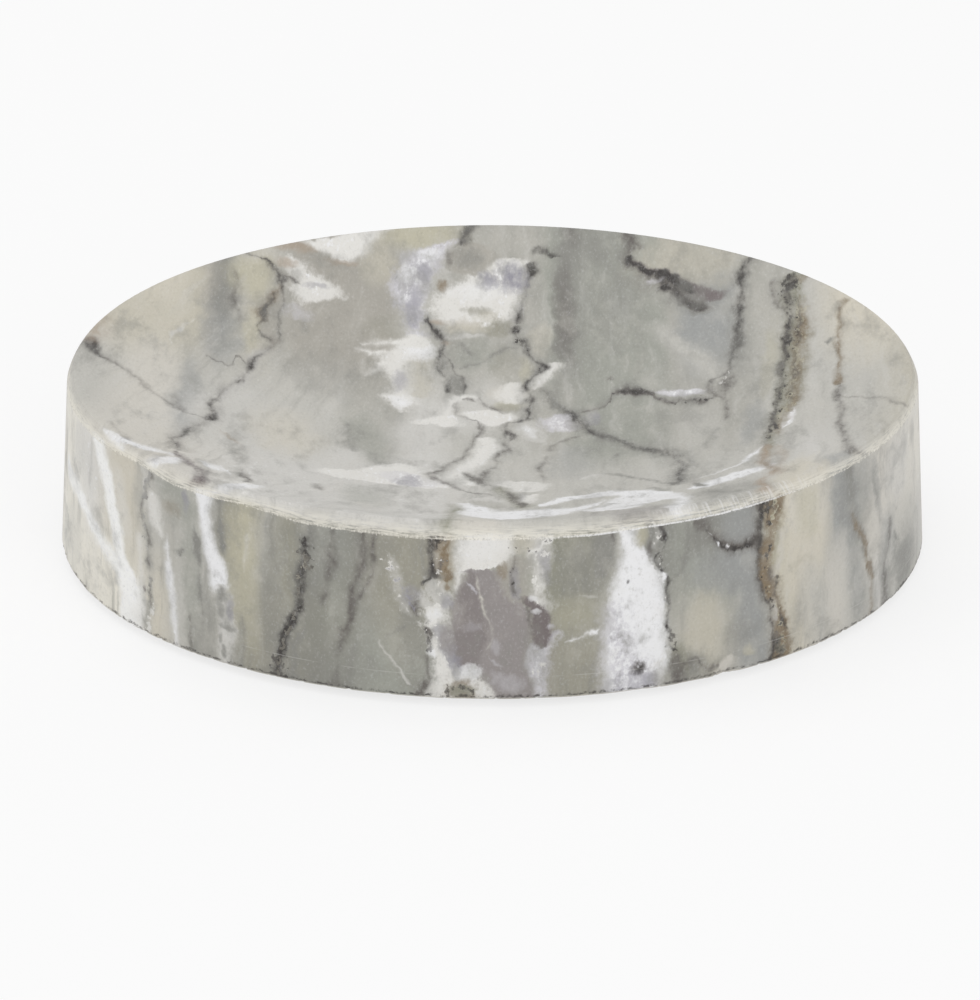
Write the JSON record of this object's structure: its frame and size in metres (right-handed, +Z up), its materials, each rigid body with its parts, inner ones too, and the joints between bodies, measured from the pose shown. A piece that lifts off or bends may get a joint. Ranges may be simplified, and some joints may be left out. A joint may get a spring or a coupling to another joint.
{
  "type": "soap dish",
  "caption": "Round marble soap dish with a shallow turned bowl, a ground rim bevel and soft stick-on pads under its flat base.",
  "frame": {"origin": "centre of the dish, on the surface that its pads stand on", "axes": "+Z up along the turning axis; -Y is the side that faces the camera in the picture"},
  "size_m": [0.1222, 0.1222, 0.026],
  "materials": {
    "marble": "honed, soft sheen; grey-beige marble with olive bands, white quartz, lilac patches and dark veins",
    "pad_rubber": "matt moulded rubber",
    "adhesive_film": "milky acrylic adhesive"
  },
  "bodies": {
    "root": {"stone_dish": "marble", "pad_back_right": "pad_rubber", "pad_back_left": "pad_rubber", "pad_front_left": "pad_rubber", "pad_front_right": "pad_rubber", "adhesive_back_right": "adhesive_film", "adhesive_back_left": "adhesive_film", "adhesive_front_left": "adhesive_film", "adhesive_front_right": "adhesive_film"}
  },
  "joints": []
}
